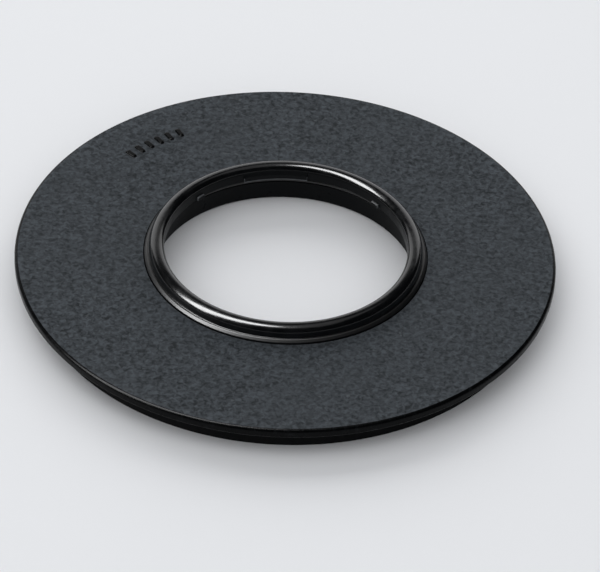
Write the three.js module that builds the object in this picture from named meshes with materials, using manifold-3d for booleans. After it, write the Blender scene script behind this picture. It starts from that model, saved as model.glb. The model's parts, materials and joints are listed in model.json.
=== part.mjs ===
// A toilet floor flange. A round plate lies on a thick gasket, and a collar stands in its middle: the
// bowl's outlet enters the collar from above and the drain pipe enters its socket from below. The
// collar turns freely in the plate, between its own foot above and a split ring below.
// Millimetres, +Z up. The origin is on the floor, on the axis of the bore.
import * as THREE from "three";
import { mergeVertices } from "three/addons/utils/BufferGeometryUtils.js";
import Module from "manifold-3d";

const wasm = await Module();
wasm.setup();

// Driving dimensions. A name ending in R is a radius about the bore's axis, and one ending in Z is a
// height above the floor.
const PIPE_R = 44.5; // outside of the drain pipe
const BORE_R = 41.4; // opening through the collar, a little wider than the pipe's own bore
const PLATE_R = 92;
const FACE_Z = 11.5; // the plate's top face
const PLATE_THICK = 3.2;
const GASKET_R = 86.3;
const CLEARANCE = 0.3; // left between neighbouring pieces

const RIM_Z = FACE_Z + 5.2;
const RIM_R = 46.4;
const FOOT_R = 48; // the collar's foot, which lies in a shallow recess round the plate's hole
const FOOT_Z = FACE_Z + 1.2;
const RECESS_DEEP = 0.5;
const SLEEVE_R = 46.8; // the part of the collar that turns in the plate
const SOCKET_R = PIPE_R + 0.25;
const SOCKET_END_Z = 0.2;
const STOP_Z = FACE_Z; // ledge that the end of the pipe meets

const BOSS_R = 55.5; // thickened ring round the plate's hole, on its underside
const BOSS_Z = 6;
const RING_THICK = 1.8; // split retaining ring
const RING_R = 50.6;
const RING_GROOVE_R = 45.9;
const RING_OPENING = THREE.MathUtils.degToRad(14);
const SEAL_GROOVE_R = 45.8;
const SEAL_GROOVE_Z = 7.4;
const SEAL_GROOVE_HIGH = 2.2;
const RIB_HIGH = 1.3; // sealing ribs under the gasket
const RIB_WIDE = 3;

const TURN_STEPS = 60; // chords in a full circle
const CORNER_STEPS = 4; // chords in a rounded corner

// Outline in the r-z plane from corners [r, z, radius]. A corner with a radius becomes an arc, and the
// outline ends where it starts, so that it closes when it is turned.
function outline(corners) {
  const places = corners.map(([r, z]) => new THREE.Vector2(r, z));
  const points = corners.flatMap(([, , radius = 0], i) => {
    const before = places.at(i - 1);
    const after = places[(i + 1) % places.length];
    return radius > 0 ? roundedCorner(before, places[i], after, radius) : [places[i]];
  });
  return [...points, points[0].clone()];
}

function roundedCorner(before, corner, after, radius) {
  const back = before.clone().sub(corner).normalize();
  const ahead = after.clone().sub(corner).normalize();
  const halfAngle = Math.acos(THREE.MathUtils.clamp(back.dot(ahead), -1, 1)) / 2;
  const inward = back.clone().add(ahead).normalize();
  const centre = corner.clone().addScaledVector(inward, radius / Math.sin(halfAngle));
  const tangent = radius / Math.tan(halfAngle);
  const start = corner.clone().addScaledVector(back, tangent).sub(centre);
  const end = corner.clone().addScaledVector(ahead, tangent).sub(centre);
  const sweep = Math.atan2(start.cross(end), start.dot(end));
  return Array.from({ length: CORNER_STEPS + 1 }, (_, i) =>
    start.clone().rotateAround(new THREE.Vector2(), (sweep * i) / CORNER_STEPS).add(centre),
  );
}

// A ring: the outline turned about the Z axis.
function turned(corners) {
  return new THREE.LatheGeometry(outline(corners), TURN_STEPS).rotateX(Math.PI / 2);
}

// A block on the inside or the face of a ring: long across the radius, at an angle and a height.
function blockAt({ radius, angle, bottom, deep, wide, high }) {
  const block = new THREE.BoxGeometry(deep, wide, high);
  block.translate(radius + deep / 2, 0, bottom + high / 2);
  return block.rotateZ(angle);
}

// A block that follows the curve of a ring, between two angles.
function arcBlock({ inner, outer, from, to, bottom, high }) {
  const shape = new THREE.Shape();
  shape.absarc(0, 0, outer, from, to, false);
  shape.absarc(0, 0, inner, to, from, true);
  const steps = Math.ceil(((to - from) / (2 * Math.PI)) * TURN_STEPS);
  const settings = { depth: high, bevelEnabled: false, curveSegments: Math.ceil(steps / 2) };
  return new THREE.ExtrudeGeometry(shape, settings).translate(0, 0, bottom);
}

function solid(geometry) {
  const bare = geometry.clone();
  bare.deleteAttribute("normal");
  bare.deleteAttribute("uv");
  const merged = mergeVertices(bare, 1e-4);
  const vertProperties = merged.getAttribute("position").array;
  const triVerts = new Uint32Array(merged.index.array);
  return new wasm.Manifold(new wasm.Mesh({ numProp: 3, vertProperties, triVerts }));
}

function geometryOf(manifold) {
  const mesh = manifold.getMesh();
  const geometry = new THREE.BufferGeometry();
  geometry.setAttribute("position", new THREE.BufferAttribute(mesh.vertProperties, 3));
  geometry.setIndex(new THREE.BufferAttribute(mesh.triVerts, 1));
  geometry.computeVertexNormals();
  return geometry;
}

function joined(base, additions) {
  return additions.reduce((whole, piece) => whole.add(solid(piece)), solid(base));
}

function named(name, geometry, material) {
  const mesh = new THREE.Mesh(geometry, material);
  mesh.name = name;
  return mesh;
}

const mattPlastic = new THREE.MeshStandardMaterial({ color: 0x3a3d40, roughness: 0.7, metalness: 0 });
const glossPlastic = new THREE.MeshStandardMaterial({ color: 0x0c0d0e, roughness: 0.2, metalness: 0 });
const satinPlastic = new THREE.MeshStandardMaterial({ color: 0x1a1b1c, roughness: 0.45, metalness: 0 });
const rubber = new THREE.MeshStandardMaterial({ color: 0x141414, roughness: 0.85, metalness: 0 });

// The plate: flat annulus with a rounded rim, a boss under the hole that gives the collar a longer
// bearing, a recess above it for the collar's foot, and a short row of raised index bars on the face.
function flangePlate() {
  const holeR = SLEEVE_R + CLEARANCE;
  const underZ = FACE_Z - PLATE_THICK;
  const rimTopRound = 1.3;
  const rimUnderRound = 0.6;
  const plate = turned([
    [holeR, BOSS_Z],
    [BOSS_R, BOSS_Z],
    [BOSS_R, underZ],
    [PLATE_R, underZ, rimUnderRound],
    [PLATE_R, FACE_Z, rimTopRound],
    [FOOT_R + CLEARANCE, FACE_Z],
    [FOOT_R + CLEARANCE, FACE_Z - RECESS_DEEP],
    [holeR, FACE_Z - RECESS_DEEP],
  ]);
  return named("flange_plate", geometryOf(joined(plate, indexBars())), mattPlastic);
}

function indexBars() {
  const count = 6;
  const pitch = 4.2;
  const radius = 73.2;
  const middle = THREE.MathUtils.degToRad(129);
  const sunk = 0.5; // how far each bar reaches into the plate, so that it joins it
  const raised = 0.5;
  const size = { deep: 4.4, wide: 1.7, high: raised + sunk };
  return Array.from({ length: count }, (_, i) => {
    const angle = middle + ((i - (count - 1) / 2) * pitch) / radius;
    return blockAt({ radius, angle, bottom: FACE_Z - sunk, ...size });
  });
}

// The collar: a rounded bead and a low foot above the plate, a sleeve through it, and below the
// ledge a socket for the pipe with a groove inside for the seal and one outside for the retaining ring.
function collar() {
  const mouthChamfer = 0.5;
  const rimOuterRound = 2.7;
  const rimInnerRound = 2.1;
  const footRound = 0.5;
  const cornerFillet = 0.25;
  const footUnderZ = FACE_Z - RECESS_DEEP + CLEARANCE;
  const footEdgeZ = FACE_Z + 0.4;
  const footTopR = FOOT_R - 0.8;
  const grooveTopZ = BOSS_Z;
  const grooveEndZ = BOSS_Z - RING_THICK - 2 * CLEARANCE;
  const sealTopZ = SEAL_GROOVE_Z + SEAL_GROOVE_HIGH;
  const body = turned([
    [SLEEVE_R, SOCKET_END_Z],
    [SLEEVE_R, grooveEndZ],
    [RING_GROOVE_R, grooveEndZ],
    [RING_GROOVE_R, grooveTopZ],
    [SLEEVE_R, grooveTopZ],
    [SLEEVE_R, footUnderZ],
    [FOOT_R, footUnderZ],
    [FOOT_R, footEdgeZ],
    [footTopR, FOOT_Z, footRound],
    [RIM_R + 0.2, FOOT_Z, cornerFillet],
    [RIM_R, RIM_Z, rimOuterRound],
    [BORE_R, RIM_Z, rimInnerRound],
    [BORE_R, STOP_Z],
    [SOCKET_R, STOP_Z],
    [SOCKET_R, sealTopZ],
    [SEAL_GROOVE_R, sealTopZ],
    [SEAL_GROOVE_R, SEAL_GROOVE_Z],
    [SOCKET_R, SEAL_GROOVE_Z],
    [SOCKET_R, SOCKET_END_Z + mouthChamfer],
    [SOCKET_R + mouthChamfer, SOCKET_END_Z],
  ]);
  return named("collar", geometryOf(joined(body, [locatingKey(), ...guideLugs()])), glossPlastic);
}

// Shallow curved pad on the inner wall, up from the ledge, that lines the bowl's outlet up.
function locatingKey() {
  const proud = 0.7;
  return arcBlock({
    inner: BORE_R - proud,
    outer: (BORE_R + RIM_R) / 2,
    from: THREE.MathUtils.degToRad(81),
    to: THREE.MathUtils.degToRad(112),
    bottom: STOP_Z,
    high: 3.4,
  });
}

// Four small lugs at the foot of the inner wall.
function guideLugs() {
  const proud = 0.8;
  const root = 1.2;
  const size = { deep: proud + root, wide: 3.2, high: 1.3 };
  const fromAxis = THREE.MathUtils.degToRad(43);
  const angles = [fromAxis, Math.PI - fromAxis, Math.PI + fromAxis, -fromAxis];
  return angles.map((angle) => blockAt({ radius: BORE_R - proud, angle, bottom: STOP_Z, ...size }));
}

// The split ring that hangs in the collar's outer groove, close under the plate's boss, with an ear
// for pliers at each end.
function retainingRing() {
  const innerR = RING_GROOVE_R + CLEARANCE;
  const bottom = BOSS_Z - CLEARANCE - RING_THICK;
  const opening = -Math.PI / 2;
  const from = opening + RING_OPENING / 2;
  const to = opening + 2 * Math.PI - RING_OPENING / 2;
  const band = arcBlock({ inner: innerR, outer: RING_R, from, to, bottom, high: RING_THICK });
  const ears = [from, to].map((angle, i) => ringEar(angle + (i ? -1 : 1) * 0.05, bottom));
  return named("retaining_ring", geometryOf(joined(band, ears)), satinPlastic);
}

function ringEar(angle, bottom) {
  const reach = BOSS_R - 1 - RING_R;
  const root = 1;
  const halfWide = 2.4;
  const holeR = 1.1;
  const shape = new THREE.Shape();
  shape.moveTo(RING_R - root, -halfWide);
  shape.lineTo(RING_R + reach - halfWide, -halfWide);
  shape.absarc(RING_R + reach - halfWide, 0, halfWide, -Math.PI / 2, Math.PI / 2, false);
  shape.lineTo(RING_R - root, halfWide);
  shape.closePath();
  const hole = new THREE.Path();
  hole.absarc(RING_R + reach - halfWide, 0, holeR, 0, 2 * Math.PI, true);
  shape.holes.push(hole);
  const settings = { depth: RING_THICK, bevelEnabled: false, curveSegments: 4 };
  return new THREE.ExtrudeGeometry(shape, settings).translate(0, 0, bottom).rotateZ(angle);
}

// The rubber ring in the socket. Its lip reaches just inside the outside of the pipe.
function pipeSeal() {
  const lipR = PIPE_R - 0.15;
  const backR = SEAL_GROOVE_R - CLEARANCE;
  const bottom = SEAL_GROOVE_Z + CLEARANCE;
  const top = SEAL_GROOVE_Z + SEAL_GROOVE_HIGH - CLEARANCE;
  const seal = turned([
    [backR, bottom],
    [backR, top],
    [SOCKET_R, top],
    [lipR, (top + bottom) / 2 + 0.3],
    [lipR, (top + bottom) / 2 - 0.3],
    [SOCKET_R, bottom],
  ]);
  return named("pipe_seal", seal, rubber);
}

// The gasket that the plate lies on: the plate's boss centres it, and three concentric ribs on its
// underside seal against the floor.
function floorGasket() {
  const innerR = BOSS_R + CLEARANCE;
  const topZ = FACE_Z - PLATE_THICK - CLEARANCE;
  const middleR = (innerR + GASKET_R) / 2;
  const edgeRound = 0.8;
  const gasket = turned([
    [innerR, 0],
    [innerR + RIB_WIDE, 0],
    [innerR + RIB_WIDE, RIB_HIGH],
    [middleR - RIB_WIDE / 2, RIB_HIGH],
    [middleR - RIB_WIDE / 2, 0],
    [middleR + RIB_WIDE / 2, 0],
    [middleR + RIB_WIDE / 2, RIB_HIGH],
    [GASKET_R - RIB_WIDE, RIB_HIGH],
    [GASKET_R - RIB_WIDE, 0],
    [GASKET_R, 0, edgeRound],
    [GASKET_R, topZ],
    [innerR, topZ],
  ]);
  return named("floor_gasket", gasket, rubber);
}

const flange = new THREE.Group();
const swivel = new THREE.Group();
swivel.add(collar(), retainingRing(), pipeSeal());
flange.add(flangePlate(), floorGasket(), swivel);

export default flange;
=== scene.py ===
"""A toilet floor flange: a round plate on a ribbed gasket, with a swivelling collar in its middle.

Metres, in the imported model's frame: the origin is on the floor under the axis of the bore, +Z is up.
A name ending in R is a radius about that axis, and one ending in Z is a height above the floor.
"""

import json
import math

import bmesh
import bpy
from mathutils import Matrix, Vector


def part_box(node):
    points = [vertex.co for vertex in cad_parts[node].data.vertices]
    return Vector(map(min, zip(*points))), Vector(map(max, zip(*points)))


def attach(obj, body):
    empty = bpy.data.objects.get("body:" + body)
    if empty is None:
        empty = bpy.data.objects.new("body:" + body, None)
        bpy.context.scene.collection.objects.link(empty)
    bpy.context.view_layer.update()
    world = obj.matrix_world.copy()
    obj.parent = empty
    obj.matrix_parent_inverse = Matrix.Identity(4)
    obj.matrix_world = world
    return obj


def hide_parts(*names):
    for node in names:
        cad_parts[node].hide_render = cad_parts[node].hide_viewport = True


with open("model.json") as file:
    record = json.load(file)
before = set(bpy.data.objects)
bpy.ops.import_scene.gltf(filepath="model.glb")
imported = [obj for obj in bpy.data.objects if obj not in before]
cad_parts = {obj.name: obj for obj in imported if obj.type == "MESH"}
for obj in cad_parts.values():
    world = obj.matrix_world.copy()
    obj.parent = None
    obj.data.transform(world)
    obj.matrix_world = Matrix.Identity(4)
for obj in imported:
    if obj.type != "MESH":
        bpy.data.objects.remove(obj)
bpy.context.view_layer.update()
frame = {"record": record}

MM = 0.001


def ring_size(node):
    """Outer radius, underside and top of a CAD ring."""
    low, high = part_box(node)
    return high.x, low.z, high.z


# Sizes read from the frame.
MOUNT = {mount["name"]: Vector(mount["pos_m"]) for mount in frame["record"]["mounts"]}
FACE_Z = MOUNT["bowl_seat"].z
STOP_Z = MOUNT["pipe_stop"].z
PLATE_R, BOSS_Z, _ = ring_size("flange_plate")
FOOT_R, SOCKET_END_Z, RIM_Z = ring_size("collar")
GASKET_R, _, GASKET_TOP_Z = ring_size("floor_gasket")
SEAL_BACK_R, SEAL_Z, SEAL_TOP_Z = ring_size("pipe_seal")
RING_R, RING_Z, RING_TOP_Z = ring_size("retaining_ring")
RING_EAR_R = -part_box("retaining_ring")[0].y

# Sizes of the sections that a box doesn't give.
CLEARANCE = 0.3 * MM
BORE_R = 41.4 * MM
SOCKET_R = 44.75 * MM
SLEEVE_R = 46.8 * MM
RIM_R = 46.4 * MM
BOSS_R = 55.5 * MM
PLATE_UNDER_Z = FACE_Z - 3.2 * MM
RECESS_Z = FACE_Z - 0.5 * MM
FOOT_Z = FACE_Z + 1.2 * MM
GROOVE_R = 45.9 * MM
SEAL_GROOVE_R = 45.8 * MM
PIPE_R = 44.5 * MM
MOUTH_CHAMFER = 0.5 * MM
LIP_ROUND = 1.3 * MM
EDGE_ROUND = 0.15 * MM
NOOK_ROUND = 0.1 * MM

# How finely rings are drawn. A corner rounded by no more than SMALL_ROUND gets the SMALL_ARC.
RING_STEPS = 360
WIDE_ARC = 16
SMALL_ARC = 4
SMALL_ROUND = 0.45 * MM
SUPPORT = 0.08 * MM
SOFT_PARTS = 6
CLOSEST_PART = 8
SHARP_ANGLE = math.radians(40)

# Places that differ by less are the same place.
LEVEL = MM / 1000


# ---------------------------------------------------------------- sections and rings


def rounded_corner(before, corner, after, radius):
    """Points of the arc that rounds a corner, with one more on each straight side to keep it flat."""
    back = (before - corner).normalized()
    ahead = (after - corner).normalized()
    half_angle = back.angle(ahead) / 2
    tangent = radius / math.tan(half_angle)
    centre = corner + (back + ahead).normalized() * (radius / math.sin(half_angle))
    start = corner + back * tangent - centre
    end = corner + ahead * tangent - centre
    sweep = start.angle_signed(end)
    steps = SMALL_ARC if radius <= SMALL_ROUND else WIDE_ARC
    arc = [centre + Matrix.Rotation(-sweep * i / steps, 2) @ start for i in range(steps + 1)]
    return [arc[0] + back * SUPPORT, *arc, arc[-1] + ahead * SUPPORT]


def outline(*corners):
    """Closed outline of a section from corners (radius, height) or (radius, height, rounding)."""
    places = [Vector(corner[:2]) for corner in corners]
    points = []
    for i, corner in enumerate(corners):
        if len(corner) == 2:
            points.append(places[i])
            continue
        after = places[(i + 1) % len(places)]
        points += rounded_corner(places[i - 1], places[i], after, corner[2])
    return points


def around(edges, soft):
    """Places close together on both sides of each edge, to draw a soft step there."""
    reach = SOFT_PARTS // 2 + 1
    parts = range(-reach, reach + 1)
    return [edge + soft * part / SOFT_PARTS for edge in edges for part in parts]


def ring_angles(extra=()):
    """Angles of a ring's sections: evenly spaced, with extra ones where it carries a feature.

    An even one is left out where an extra one is nearer than a CLOSEST_PART of the spacing.
    """
    even = [2 * math.pi * i / RING_STEPS for i in range(RING_STEPS)]
    close = 2 * math.pi / RING_STEPS / CLOSEST_PART
    wanted = sorted(angle % (2 * math.pi) for angle in extra)
    kept = [a for a in even if all(abs(a - w) > close for w in wanted)]
    return sorted(kept + wanted)


def no_relief(angle, radius, height):
    return radius, height


def turned(name, section, angles=None, relief=no_relief):
    """A ring with that section. relief moves a point of it, given its angle, radius and height."""
    form = bmesh.new()
    rows = []
    for angle in angles or ring_angles():
        direction = Vector((math.cos(angle), math.sin(angle)))
        row = []
        for point in section:
            radius, height = relief(angle, *point)
            row.append(form.verts.new((*(direction * radius), height)))
        rows.append(row)
    for row, following in zip(rows, rows[1:] + rows[:1]):
        for i, vertex in enumerate(row):
            j = (i + 1) % len(row)
            form.faces.new((vertex, row[j], following[j], following[i]))
    bmesh.ops.recalc_face_normals(form, faces=form.faces)
    return piece_from(form, name)


def piece_from(form, name):
    mesh = bpy.data.meshes.new(name)
    form.to_mesh(mesh)
    form.free()
    piece = bpy.data.objects.new(name, mesh)
    bpy.context.scene.collection.objects.link(piece)
    shade(piece)
    return piece


def shade(piece):
    """Smooth shading that keeps the real edges sharp."""
    piece.data.polygons.foreach_set("use_smooth", [True] * len(piece.data.polygons))
    piece.data.set_sharp_from_angle(angle=SHARP_ANGLE)


def step(distance, soft):
    """From 0 before an edge to 1 past it, over a width of soft."""
    share = min(max(distance / soft + 0.5, 0), 1)
    return share * share * (3 - 2 * share)


def turn_between(angle, other):
    """Signed angle from other to angle, the short way round."""
    return (angle - other + math.pi) % (2 * math.pi) - math.pi


# ---------------------------------------------------------------- materials


# Most of a noise pattern lies between these.
NOISE_LOW = 0.3
NOISE_HIGH = 0.7


class Recipe:
    """The node tree of one material, with the few patterns that the recipes share."""

    def __init__(self, name, specular):
        self.material = bpy.data.materials.new(name)
        self.material.use_nodes = True
        self.tree = self.material.node_tree
        self.shader = self.tree.nodes["Principled BSDF"]
        self.shader.inputs["Specular IOR Level"].default_value = specular
        self.place = self.tree.nodes.new("ShaderNodeTexCoord").outputs["Object"]

    def feed(self, socket, source):
        """Links a node's output to a socket, or sets the socket to a plain value."""
        if isinstance(source, bpy.types.NodeSocket):
            self.tree.links.new(source, socket)
        else:
            socket.default_value = source

    def noise(self, size, detail=3.0, roughness=0.55, distortion=0.0):
        """Cloudy pattern around 0.5, with blotches of about that size."""
        node = self.tree.nodes.new("ShaderNodeTexNoise")
        self.tree.links.new(self.place, node.inputs["Vector"])
        node.inputs["Scale"].default_value = 1 / size
        node.inputs["Detail"].default_value = detail
        node.inputs["Roughness"].default_value = roughness
        node.inputs["Distortion"].default_value = distortion
        return node.outputs["Fac"]

    def cells(self, size):
        """Distance from the nearest of many scattered points, about that far apart."""
        node = self.tree.nodes.new("ShaderNodeTexVoronoi")
        self.tree.links.new(self.place, node.inputs["Vector"])
        node.inputs["Scale"].default_value = 1 / size
        return node.outputs["Distance"]

    def scaled(self, value, low, high, to_low, to_high):
        """Value's stretch low..high carried to to_low..to_high, and held there outside it."""
        node = self.tree.nodes.new("ShaderNodeMapRange")
        for socket, source in zip(node.inputs, (value, low, high, to_low, to_high)):
            self.feed(socket, source)
        return node.outputs["Result"]

    def share(self, value, low, high, most=1.0):
        """Share that grows from 0 where value is low to most where it is high."""
        return self.scaled(value, low, high, 0.0, most)

    def spread(self, noise, to_low, to_high):
        """A noise pattern carried to the range to_low..to_high."""
        return self.scaled(noise, NOISE_LOW, NOISE_HIGH, to_low, to_high)

    def from_axis(self):
        """Distance from the bore's axis."""
        flat = self.tree.nodes.new("ShaderNodeVectorMath")
        flat.operation = "MULTIPLY"
        flat.inputs[1].default_value = (1, 1, 0)
        self.tree.links.new(self.place, flat.inputs[0])
        length = self.tree.nodes.new("ShaderNodeVectorMath")
        length.operation = "LENGTH"
        self.tree.links.new(flat.outputs["Vector"], length.inputs[0])
        return length.outputs["Value"]

    def both(self, first, second):
        """Product of two shares."""
        node = self.tree.nodes.new("ShaderNodeMath")
        node.operation = "MULTIPLY"
        self.tree.links.new(first, node.inputs[0])
        self.tree.links.new(second, node.inputs[1])
        return node.outputs["Value"]

    def blend(self, share, first, second):
        """Colour between two colours, each (r, g, b) or an output."""
        node = self.tree.nodes.new("ShaderNodeMix")
        node.data_type = "RGBA"
        self.feed(node.inputs["Factor"], share)
        ends = [socket for socket in node.inputs if socket.type == "RGBA"]
        for socket, colour in zip(ends, (first, second)):
            self.feed(socket, colour if isinstance(colour, bpy.types.NodeSocket) else (*colour, 1))
        return next(socket for socket in node.outputs if socket.type == "RGBA")

    def bump(self, height, depth, over=None):
        """Fine relief: height from 0 to 1 stands for that many metres. It lies over another relief."""
        node = self.tree.nodes.new("ShaderNodeBump")
        node.inputs["Distance"].default_value = depth
        self.tree.links.new(height, node.inputs["Height"])
        if over:
            self.tree.links.new(over, node.inputs["Normal"])
        return node.outputs["Normal"]

    def finish(self, colour, roughness, normal):
        self.feed(self.shader.inputs["Base Color"], colour)
        self.feed(self.shader.inputs["Roughness"], roughness)
        self.feed(self.shader.inputs["Normal"], normal)
        return self.material


RUBBED_WIDE = 5 * MM
PIT_COLOUR = (0.009, 0.0115, 0.0135)
CREST_COLOUR = (0.0525, 0.061, 0.070)
CLOUD_COLOUR = (0.033, 0.038, 0.043)
SPECK_COLOUR = (0.08, 0.088, 0.095)
RUBBED_COLOUR = (0.070, 0.078, 0.085)


def grained_plastic():
    """The plate's face: charcoal plastic with a fine moulded grain, cloudy, rubbed paler near its edge."""
    recipe = Recipe("grained_plastic", specular=0.07)
    grain = recipe.noise(1.5 * MM, detail=2.0, roughness=0.5, distortion=0.6)
    fine = recipe.noise(0.45 * MM, detail=2.0)
    base = recipe.blend(recipe.spread(grain, 0.0, 1.0), PIT_COLOUR, CREST_COLOUR)
    clouds = recipe.share(recipe.noise(24 * MM, detail=3.0), 0.35, 0.7, most=0.3)
    clouded = recipe.blend(clouds, base, CLOUD_COLOUR)
    specks = recipe.share(recipe.noise(2.4 * MM, detail=1.0), 0.72, 0.8, most=0.55)
    speckled = recipe.blend(specks, clouded, SPECK_COLOUR)
    near_edge = recipe.share(recipe.from_axis(), PLATE_R - RUBBED_WIDE, PLATE_R - LIP_ROUND, most=0.5)
    patches = recipe.share(recipe.noise(3 * MM, detail=5.0), 0.5, 0.7)
    colour = recipe.blend(recipe.both(near_edge, patches), speckled, RUBBED_COLOUR)
    roughness = recipe.spread(grain, 0.72, 0.58)
    normal = recipe.bump(fine, 0.02 * MM, recipe.bump(grain, 0.12 * MM))
    return recipe.finish(colour, roughness, normal)


def polished_edge():
    """The plate's rim and underside: the same plastic, smooth from the mould, faintly scuffed."""
    recipe = Recipe("polished_edge", specular=0.07)
    scuffs = recipe.share(recipe.noise(2.2 * MM, detail=5.0, roughness=0.7), 0.55, 0.8)
    colour = recipe.blend(scuffs, (0.0012, 0.0014, 0.0016), (0.008, 0.009, 0.010))
    roughness = recipe.spread(recipe.noise(3 * MM, detail=4.0), 0.2, 0.32)
    normal = recipe.bump(recipe.noise(1.6 * MM, detail=2.0), 0.012 * MM)
    return recipe.finish(colour, roughness, normal)


def gloss_plastic():
    """The collar's rim and its duller foot: polished black plastic, with faint handling smears."""
    foot_starts = RIM_R + 0.8 * MM
    recipe = Recipe("gloss_plastic", specular=0.5)
    smears = recipe.share(recipe.noise(7 * MM, detail=4.0, distortion=1.2), 0.45, 0.75)
    colour = recipe.blend(smears, (0.0018, 0.0021, 0.0025), (0.005, 0.0055, 0.0062))
    polish = recipe.scaled(smears, 0.0, 1.0, 0.17, 0.24)
    roughness = recipe.scaled(recipe.from_axis(), RIM_R, foot_starts, polish, 0.38)
    normal = recipe.bump(recipe.noise(2.8 * MM, detail=1.0), 0.012 * MM)
    return recipe.finish(colour, roughness, normal)


def socket_plastic():
    """The rest of the collar: the same black plastic as it leaves the mould, satin and a little scuffed."""
    recipe = Recipe("socket_plastic", specular=0.06)
    scuffs = recipe.share(recipe.noise(2.5 * MM, detail=5.0, roughness=0.7), 0.58, 0.8)
    colour = recipe.blend(scuffs, (0.0045, 0.005, 0.0055), (0.010, 0.0105, 0.011))
    roughness = recipe.spread(recipe.noise(4 * MM, detail=3.0), 0.26, 0.4)
    normal = recipe.bump(recipe.noise(0.8 * MM, detail=2.0), 0.01 * MM)
    return recipe.finish(colour, roughness, normal)


def highlight_painted_plastic():
    """The edges of the key and the lugs: the same plastic, dull, painted pale as a painted highlight along
    the edges and a painted glint on the lugs.
    """
    recipe = Recipe("highlight_painted_plastic", specular=0.3)
    highlight_patches = recipe.share(recipe.noise(1.2 * MM, detail=4.0), 0.35, 0.65)
    # painted highlight: the pale colour stands in for light caught by these edges, made patchy by noise
    colour = recipe.blend(highlight_patches, (0.045, 0.048, 0.052), (0.085, 0.09, 0.095))
    normal = recipe.bump(recipe.noise(0.5 * MM, detail=2.0), 0.01 * MM)
    return recipe.finish(colour, 0.4, normal)


def gasket_rubber():
    """The gasket: dull black rubber, finely pitted, a little dusty."""
    recipe = Recipe("gasket_rubber", specular=0.08)
    pits = recipe.cells(0.8 * MM)
    dust = recipe.share(recipe.noise(5 * MM, detail=6.0, roughness=0.7), 0.55, 0.8, most=0.4)
    colour = recipe.blend(dust, (0.0035, 0.0037, 0.004), (0.013, 0.013, 0.0135))
    roughness = recipe.spread(recipe.noise(1.5 * MM, detail=3.0), 0.62, 0.82)
    normal = recipe.bump(recipe.share(pits, 0.0, 0.35), 0.03 * MM)
    return recipe.finish(colour, roughness, normal)


def seal_rubber():
    """The pipe seal: smooth black rubber with a film of grease."""
    recipe = Recipe("seal_rubber", specular=0.5)
    film = recipe.noise(4 * MM, detail=3.0, distortion=0.8)
    colour = recipe.blend(film, (0.006, 0.006, 0.006), (0.013, 0.013, 0.012))
    roughness = recipe.spread(film, 0.28, 0.5)
    normal = recipe.bump(recipe.noise(0.9 * MM, detail=2.0), 0.01 * MM)
    return recipe.finish(colour, roughness, normal)


def satin_plastic():
    """The retaining ring: satin black engineering plastic with faint flow marks."""
    recipe = Recipe("satin_plastic", specular=0.5)
    flow = recipe.noise(6 * MM, detail=4.0, distortion=2.0)
    colour = recipe.blend(flow, (0.014, 0.014, 0.015), (0.026, 0.026, 0.027))
    roughness = recipe.spread(flow, 0.34, 0.5)
    normal = recipe.bump(recipe.noise(0.7 * MM, detail=2.0), 0.015 * MM)
    return recipe.finish(colour, roughness, normal)


def studio_paper():
    """The floor: pale seamless paper."""
    recipe = Recipe("studio_paper", specular=0.1)
    tone = recipe.noise(60 * MM, detail=3.0)
    colour = recipe.blend(tone, (0.795, 0.80, 0.812), (0.805, 0.81, 0.822))
    normal = recipe.bump(recipe.noise(1.0 * MM, detail=3.0), 0.01 * MM)
    return recipe.finish(colour, 0.9, normal)


# ---------------------------------------------------------------- the plate


BAR_COUNT = 6
BAR_PITCH = 4.2 * MM
BAR_R = 75.4 * MM
BAR_HALF_LENGTH = 2.2 * MM
BAR_HALF_WIDTH = 0.85 * MM
BAR_HIGH = 0.5 * MM
BAR_SOFT = 0.35 * MM
BAR_RINGS = 14
BARS_ANGLE = math.radians(129)
BOSS_ROUND = 0.4 * MM
PLATE_INNER_ROUND = 0.3 * MM
LIP_LOWER_ROUND = 0.6 * MM
FACE_DEPTH = 0.02 * MM


def bar_angles():
    """Angles of the raised index bars near the plate's rim."""
    return [BARS_ANGLE + (i - (BAR_COUNT - 1) / 2) * BAR_PITCH / BAR_R for i in range(BAR_COUNT)]


def index_bars(angle, radius, height):
    """Raises the round-ended index bars out of the plate's face."""
    if height < FACE_Z - LEVEL or abs(radius - BAR_R) > BAR_HALF_LENGTH + BAR_SOFT:
        return radius, height
    nearest = min(abs(turn_between(angle, bar)) for bar in bar_angles()) * BAR_R
    beyond = max(abs(radius - BAR_R) - (BAR_HALF_LENGTH - BAR_HALF_WIDTH), 0)
    return radius, height + BAR_HIGH * step(BAR_HALF_WIDTH - math.hypot(nearest, beyond), BAR_SOFT)


def make_plate():
    hole_r = SLEEVE_R + CLEARANCE
    recess_r = FOOT_R + CLEARANCE
    bar_end = BAR_HALF_LENGTH + BAR_SOFT
    inward = range(BAR_RINGS, -BAR_RINGS - 1, -1)
    bar_rings = [BAR_R + bar_end * i / BAR_RINGS for i in inward]
    section = outline(
        (hole_r, BOSS_Z, PLATE_INNER_ROUND),
        (BOSS_R, BOSS_Z, BOSS_ROUND),
        (BOSS_R, PLATE_UNDER_Z, PLATE_INNER_ROUND),
        (PLATE_R, PLATE_UNDER_Z, LIP_LOWER_ROUND),
        (PLATE_R, FACE_Z, LIP_ROUND),
        *[(radius, FACE_Z) for radius in bar_rings],
        (recess_r, FACE_Z, EDGE_ROUND),
        (recess_r, RECESS_Z, NOOK_ROUND),
        (hole_r, RECESS_Z, NOOK_ROUND),
    )
    sides = [angle + side * BAR_HALF_WIDTH / BAR_R for angle in bar_angles() for side in (-1, 1)]
    angles = ring_angles([*around(sides, BAR_SOFT / BAR_R), *bar_angles()])
    plate = turned("moulded_plate", section, angles, index_bars)
    plate.data.materials.append(grained_plastic())
    plate.data.materials.append(polished_edge())
    polish_rim(plate)
    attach(plate, "plate")
    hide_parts("flange_plate")


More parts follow.
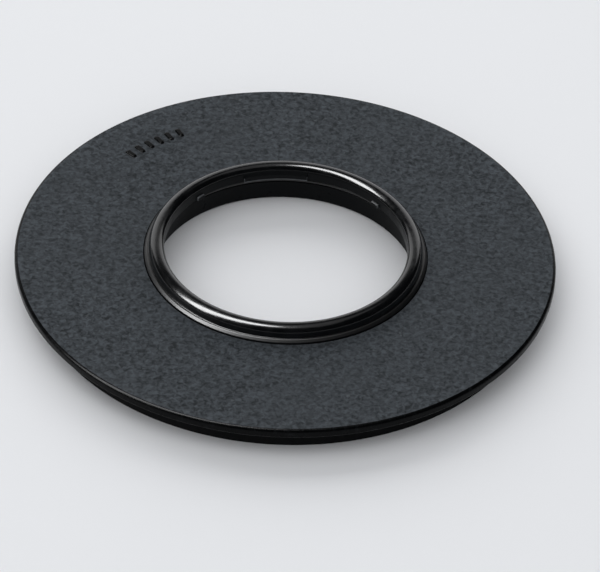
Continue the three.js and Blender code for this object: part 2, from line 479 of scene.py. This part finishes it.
def polish_rim(plate):
    """Gives the rounded rim, the index bars and everything under the face the smooth finish."""
    grained, polished = 0, 1
    for face in plate.data.polygons:
        on_face = abs(face.center.z - FACE_Z) < FACE_DEPTH
        face.material_index = grained if on_face else polished


# ---------------------------------------------------------------- the collar


KEY_FROM = math.radians(81)
KEY_TO = math.radians(112)
KEY_TOP_Z = STOP_Z + 3.4 * MM
KEY_PROUD = 0.7 * MM
KEY_RAMP = 1.6 * MM
LUG_ANGLES = [math.radians(angle) for angle in (43, 137, 223, 317)]
LUG_HALF_WIDTH = 1.6 * MM
LUG_HIGH = 1.3 * MM
LUG_PROUD = 0.8 * MM
# height of the strip along the key's foot that gets the painted highlight
HIGHLIGHT_STRIP_HIGH = 0.4 * MM
WALL_SOFT = 0.3 * MM
RIM_INNER_ROUND = 2.1 * MM
RIM_OUTER_ROUND = 2.7 * MM
RAMP_SPREAD = 0.8  # share of the ramp's width that sets how far apart its extra heights are
SLEEVE_END_ROUND = 0.4 * MM
FOOT_SIDE_HIGH = 0.4 * MM
FOOT_SIDE_ROUND = 0.3 * MM
FOOT_SLOPE_WIDE = 0.8 * MM
FOOT_TOP_ROUND = 0.45 * MM
FOOT_FILLET = 0.2 * MM
LEDGE_EDGE_ROUND = 0.08 * MM
LEDGE_FILLET = 0.3 * MM
SEAL_GROOVE_ROUND = 0.12 * MM

# How a face of the collar is told to be on the inner wall, on a raised feature or on a feature's edge.
WALL_DEPTH = 0.2 * MM
SATIN_DEPTH = 0.05 * MM
FEATURE_PROUD = 0.3 * MM
EDGE_FACING = 0.75


def wall_features(angle, radius, height):
    """Raises the locating key, a wedge, and the four guide lugs out of the collar's inner wall."""
    if radius > BORE_R + WALL_DEPTH or not STOP_Z - LEVEL <= height <= RIM_Z:
        return radius, height
    along = turn_between(angle, (KEY_FROM + KEY_TO) / 2) * BORE_R
    key = step((KEY_TO - KEY_FROM) / 2 * BORE_R - abs(along), WALL_SOFT)
    key *= step(KEY_TOP_Z - KEY_RAMP / 2 - height, KEY_RAMP)
    beside = min(abs(turn_between(angle, lug)) for lug in LUG_ANGLES) * BORE_R
    lug = step(LUG_HALF_WIDTH - beside, WALL_SOFT) * step(STOP_Z + LUG_HIGH - height, WALL_SOFT)
    return radius - KEY_PROUD * key - LUG_PROUD * lug, height


def make_collar():
    ramp = around([KEY_TOP_Z - KEY_RAMP / 2], KEY_RAMP * RAMP_SPREAD)
    lug_top = around([STOP_Z + LUG_HIGH], WALL_SOFT)
    wall = sorted([*ramp, *lug_top, STOP_Z + HIGHLIGHT_STRIP_HIGH], reverse=True)
    groove_end_z = RING_Z - CLEARANCE
    foot_under_z = RECESS_Z + CLEARANCE
    section = outline(
        (SLEEVE_R, SOCKET_END_Z, SLEEVE_END_ROUND),
        (SLEEVE_R, groove_end_z, EDGE_ROUND),
        (GROOVE_R, groove_end_z, NOOK_ROUND),
        (GROOVE_R, BOSS_Z, NOOK_ROUND),
        (SLEEVE_R, BOSS_Z, EDGE_ROUND),
        (SLEEVE_R, foot_under_z, NOOK_ROUND),
        (FOOT_R, foot_under_z, NOOK_ROUND),
        (FOOT_R, FACE_Z + FOOT_SIDE_HIGH, FOOT_SIDE_ROUND),
        (FOOT_R - FOOT_SLOPE_WIDE, FOOT_Z, FOOT_TOP_ROUND),
        (RIM_R + FOOT_FILLET, FOOT_Z, FOOT_FILLET),
        (RIM_R, RIM_Z, RIM_OUTER_ROUND),
        (BORE_R, RIM_Z, RIM_INNER_ROUND),
        *[(BORE_R, height) for height in wall],
        (BORE_R, STOP_Z, LEDGE_EDGE_ROUND),
        (SOCKET_R, STOP_Z, LEDGE_FILLET),
        (SOCKET_R, SEAL_TOP_Z + CLEARANCE, SEAL_GROOVE_ROUND),
        (SEAL_GROOVE_R, SEAL_TOP_Z + CLEARANCE, NOOK_ROUND),
        (SEAL_GROOVE_R, SEAL_Z - CLEARANCE, NOOK_ROUND),
        (SOCKET_R, SEAL_Z - CLEARANCE, SEAL_GROOVE_ROUND),
        (SOCKET_R, SOCKET_END_Z + MOUTH_CHAMFER, EDGE_ROUND),
        (SOCKET_R + MOUTH_CHAMFER, SOCKET_END_Z, EDGE_ROUND),
    )
    lug_sides = [lug + side * LUG_HALF_WIDTH / BORE_R for lug in LUG_ANGLES for side in (-1, 1)]
    sides = around([KEY_FROM, KEY_TO, *lug_sides], WALL_SOFT / BORE_R)
    collar = turned("polished_collar", section, ring_angles(sides), wall_features)
    collar.data.materials.append(gloss_plastic())
    collar.data.materials.append(socket_plastic())
    # third slot: the pale painted highlight for the key's and lugs' edges
    collar.data.materials.append(highlight_painted_plastic())
    finish_inside(collar)
    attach(collar, "hub")
    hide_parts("collar")


def finish_inside(collar):
    """Gives the inner wall, the socket and the sleeve the satin finish, and paints a pale highlight on the
    key's and lugs' edges and along the key's foot.
    """
    satin, painted_highlight = 1, 2
    for face in collar.data.polygons:
        outward = Vector((face.center.x, face.center.y, 0))
        radius = outward.length
        if radius < BORE_R + SATIN_DEPTH or face.center.z < FACE_Z:
            face.material_index = satin
        on_feature = radius < BORE_R - FEATURE_PROUD and face.center.z < KEY_TOP_Z - KEY_RAMP
        turned_away = abs(face.normal.dot(outward.normalized())) < EDGE_FACING
        on_key = KEY_FROM < math.atan2(outward.y, outward.x) < KEY_TO
        # painted highlight: the lugs' and key's turned-away edges and a strip along the key's foot get the
        # pale material
        if on_feature and (turned_away or on_key and face.center.z < STOP_Z + HIGHLIGHT_STRIP_HIGH):
            face.material_index = painted_highlight


# ---------------------------------------------------------------- rings and seals


RING_EDGE = 0.15 * MM
RING_OPENING = math.radians(14)
EAR_HALF = 2.4 * MM
EAR_HOLE_R = 1.1 * MM
EAR_LEAN = math.radians(2.9)
EAR_STEPS = 16
HOLE_STEPS = 24


def arc(radius, first, last, steps, centre=(0, 0)):
    """Evenly spaced points of an arc, both ends among them."""
    turns = [first + (last - first) * i / steps for i in range(steps + 1)]
    return [(centre[0] + radius * math.cos(t), centre[1] + radius * math.sin(t)) for t in turns]


def ear_centre(angle):
    distance = RING_EAR_R - EAR_HALF
    return distance * math.cos(angle), distance * math.sin(angle)


def ear_end(angle):
    """Round end of an ear that points outward at that angle."""
    return arc(EAR_HALF, angle - math.pi / 2, angle + math.pi / 2, EAR_STEPS, ear_centre(angle))


def split_ring_loops():
    """The split ring's outline, then that of the plier hole in each ear."""
    start = -math.pi / 2 + RING_OPENING / 2
    end = 3 * math.pi / 2 - RING_OPENING / 2
    first_ear = start + EAR_LEAN
    last_ear = end - EAR_LEAN
    root = EAR_HALF / RING_R
    outer = arc(RING_R, first_ear + root, last_ear - root, RING_STEPS)
    inner = arc(GROOVE_R + CLEARANCE, end, start, RING_STEPS)
    sides = HOLE_STEPS - 1
    turn = 2 * math.pi * sides / HOLE_STEPS
    holes = [arc(EAR_HOLE_R, 0, turn, sides, ear_centre(ear)) for ear in (first_ear, last_ear)]
    return [[*ear_end(first_ear), *outer, *ear_end(last_ear), *inner], *holes]


def split_ring_mesh():
    """Fills the ring's loops, as thick as the ring and with its edges rounded."""
    flat = bpy.data.curves.new("split_ring", "CURVE")
    flat.dimensions = "2D"
    flat.fill_mode = "BOTH"
    flat.extrude = (RING_TOP_Z - RING_Z) / 2 - RING_EDGE
    flat.bevel_depth = RING_EDGE
    flat.bevel_resolution = 2
    flat.offset = -RING_EDGE
    for loop in split_ring_loops():
        spline = flat.splines.new("POLY")
        spline.points.add(len(loop) - 1)
        for point, (x, y) in zip(spline.points, loop):
            point.co = (x, y, 0, 1)
        spline.use_cyclic_u = True
    shape = bpy.data.objects.new("split_ring_outline", flat)
    bpy.context.scene.collection.objects.link(shape)
    bpy.context.view_layer.update()
    evaluated = shape.evaluated_get(bpy.context.evaluated_depsgraph_get())
    mesh = bpy.data.meshes.new_from_object(evaluated)
    bpy.data.objects.remove(shape)
    return mesh


def make_retaining_ring():
    """Split ring with an ear and a plier hole at each end."""
    mesh = split_ring_mesh()
    mesh.transform(Matrix.Translation((0, 0, (RING_Z + RING_TOP_Z) / 2)))
    form = bmesh.new()
    form.from_mesh(mesh)
    bmesh.ops.remove_doubles(form, verts=form.verts, dist=LEVEL)
    bmesh.ops.recalc_face_normals(form, faces=form.faces)
    ring = piece_from(form, "split_ring")
    ring.data.materials.append(satin_plastic())
    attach(ring, "hub")
    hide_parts("retaining_ring")


def make_pipe_seal():
    squeeze = 0.15 * MM
    lip_r = PIPE_R - squeeze
    middle_z = (SEAL_Z + SEAL_TOP_Z) / 2
    lip_half = 0.3 * MM
    edge = 0.2 * MM
    section = outline(
        (SEAL_BACK_R, SEAL_Z, edge),
        (SEAL_BACK_R, SEAL_TOP_Z, edge),
        (SOCKET_R, SEAL_TOP_Z, edge),
        (lip_r, middle_z + lip_half, EDGE_ROUND),
        (lip_r, middle_z - lip_half, EDGE_ROUND),
        (SOCKET_R, SEAL_Z, edge),
    )
    seal = turned("socket_seal", section)
    seal.data.materials.append(seal_rubber())
    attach(seal, "hub")
    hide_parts("pipe_seal")


def make_gasket():
    rib_high = 1.3 * MM
    rib_wide = 3 * MM
    inner_r = BOSS_R + CLEARANCE
    middle_r = (inner_r + GASKET_R) / 2
    middle_from = middle_r - rib_wide / 2
    middle_to = middle_r + rib_wide / 2
    rib_round = 0.5 * MM
    inner_edge = 0.4 * MM
    outer_edge = 0.8 * MM
    top_edge = 0.3 * MM
    section = outline(
        (inner_r, 0, inner_edge),
        (inner_r + rib_wide, 0, rib_round),
        (inner_r + rib_wide, rib_high, rib_round),
        (middle_from, rib_high, rib_round),
        (middle_from, 0, rib_round),
        (middle_to, 0, rib_round),
        (middle_to, rib_high, rib_round),
        (GASKET_R - rib_wide, rib_high, rib_round),
        (GASKET_R - rib_wide, 0, rib_round),
        (GASKET_R, 0, outer_edge),
        (GASKET_R, GASKET_TOP_Z, top_edge),
        (inner_r, GASKET_TOP_Z, top_edge),
    )
    gasket = turned("ribbed_gasket", section)
    gasket.data.materials.append(gasket_rubber())
    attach(gasket, "plate")
    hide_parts("floor_gasket")


# ---------------------------------------------------------------- studio


SENSOR_WIDE = 36.0
CAMERA_ELEVATION = math.radians(38.85)
CAMERA_ROLL = math.radians(2.54)
CAMERA_DISTANCE = 18 * PLATE_R
CAMERA_LENS = 292.4
AIM_RIGHT = 5.35 * MM
AIM_DOWN = 10.9 * MM


def add_camera():
    """Long lens from in front and above, a little rolled, with the plate just above the middle."""
    forward = Vector((0, math.cos(CAMERA_ELEVATION), -math.sin(CAMERA_ELEVATION)))
    up = Vector((0, math.sin(CAMERA_ELEVATION), math.cos(CAMERA_ELEVATION)))
    centre = Vector((0, 0, FACE_Z))
    station = centre - forward * CAMERA_DISTANCE
    aim = centre + Vector((AIM_RIGHT, 0, 0)) - up * AIM_DOWN
    turn = (aim - station).to_track_quat("-Z", "Y").to_matrix().to_4x4()
    lens = bpy.data.cameras.new("camera")
    lens.sensor_width = SENSOR_WIDE
    lens.lens = CAMERA_LENS
    camera = bpy.data.objects.new("camera", lens)
    camera.matrix_world = Matrix.Translation(station) @ turn @ Matrix.Rotation(CAMERA_ROLL, 4, "Z")
    bpy.context.scene.collection.objects.link(camera)
    bpy.context.scene.camera = camera


LIGHT_TINT = (0.985, 0.99, 1.0)
SHADING_DISTANCE = 3.0
GLOSS_DISTANCE = 2.0
SKY_COLOUR = (0.95, 0.97, 1.0)
SKY_STRENGTH = 0.36
FLOOR_HALF = 4.0
FLOOR_CELLS = 8


def add_softbox(name, azimuth, elevation, wide, high, radiance, gloss=False):
    """Rectangular light that faces the object. Azimuth and elevation are in degrees, azimuth from +X.

    wide and high are for each metre of distance, and radiance 1 is paper white. A gloss light is a card
    that only shows in reflections. The others shade the floor and all matt surfaces, and reflections
    don't show them.
    """
    distance = GLOSS_DISTANCE if gloss else SHADING_DISTANCE
    azimuth = math.radians(azimuth)
    elevation = math.radians(elevation)
    direction = Vector((
        math.cos(azimuth) * math.cos(elevation),
        math.sin(azimuth) * math.cos(elevation),
        math.sin(elevation),
    ))
    panel = bpy.data.lights.new(name, "AREA")
    panel.shape = "RECTANGLE"
    panel.size = wide * distance
    panel.size_y = high * distance
    panel.energy = radiance * math.pi * panel.size * panel.size_y
    panel.color = LIGHT_TINT
    light = bpy.data.objects.new(name, panel)
    light.visible_diffuse = not gloss
    light.visible_glossy = gloss
    turn = direction.to_track_quat("Z", "Y").to_matrix().to_4x4()
    light.matrix_world = Matrix.Translation(direction * distance) @ turn
    bpy.context.scene.collection.objects.link(light)


def add_world():
    """Even light from all round, which reflections don't show."""
    world = bpy.data.worlds.new("studio")
    world.use_nodes = True
    background = world.node_tree.nodes["Background"]
    background.inputs["Color"].default_value = (*SKY_COLOUR, 1)
    background.inputs["Strength"].default_value = SKY_STRENGTH
    world.cycles_visibility.glossy = False
    bpy.context.scene.world = world


def add_floor():
    form = bmesh.new()
    bmesh.ops.create_grid(form, x_segments=FLOOR_CELLS, y_segments=FLOOR_CELLS, size=FLOOR_HALF)
    floor = piece_from(form, "studio_floor")
    floor.data.materials.append(studio_paper())


def add_lights():
    add_softbox("key", azimuth=206, elevation=60, wide=1.0, high=1.0, radiance=0.7)
    add_softbox("back_window", azimuth=103, elevation=28, wide=1.8, high=0.9, radiance=2.1)
    add_softbox("front_fill", azimuth=280, elevation=45, wide=1.6, high=1.6, radiance=0.58)
    add_softbox("key_sparkle", azimuth=194, elevation=54, wide=0.46, high=1.3, radiance=22.0, gloss=True)
    add_softbox("back_card", azimuth=95, elevation=16, wide=1.8, high=0.8, radiance=1.4, gloss=True)
    add_softbox("ceiling_card", azimuth=90, elevation=88, wide=1.0, high=1.0, radiance=0.5, gloss=True)


def add_studio():
    bpy.context.scene.view_settings.view_transform = "Standard"
    add_camera()
    add_floor()
    add_world()
    add_lights()


add_studio()
make_plate()
make_collar()
make_retaining_ring()
make_pipe_seal()
make_gasket()
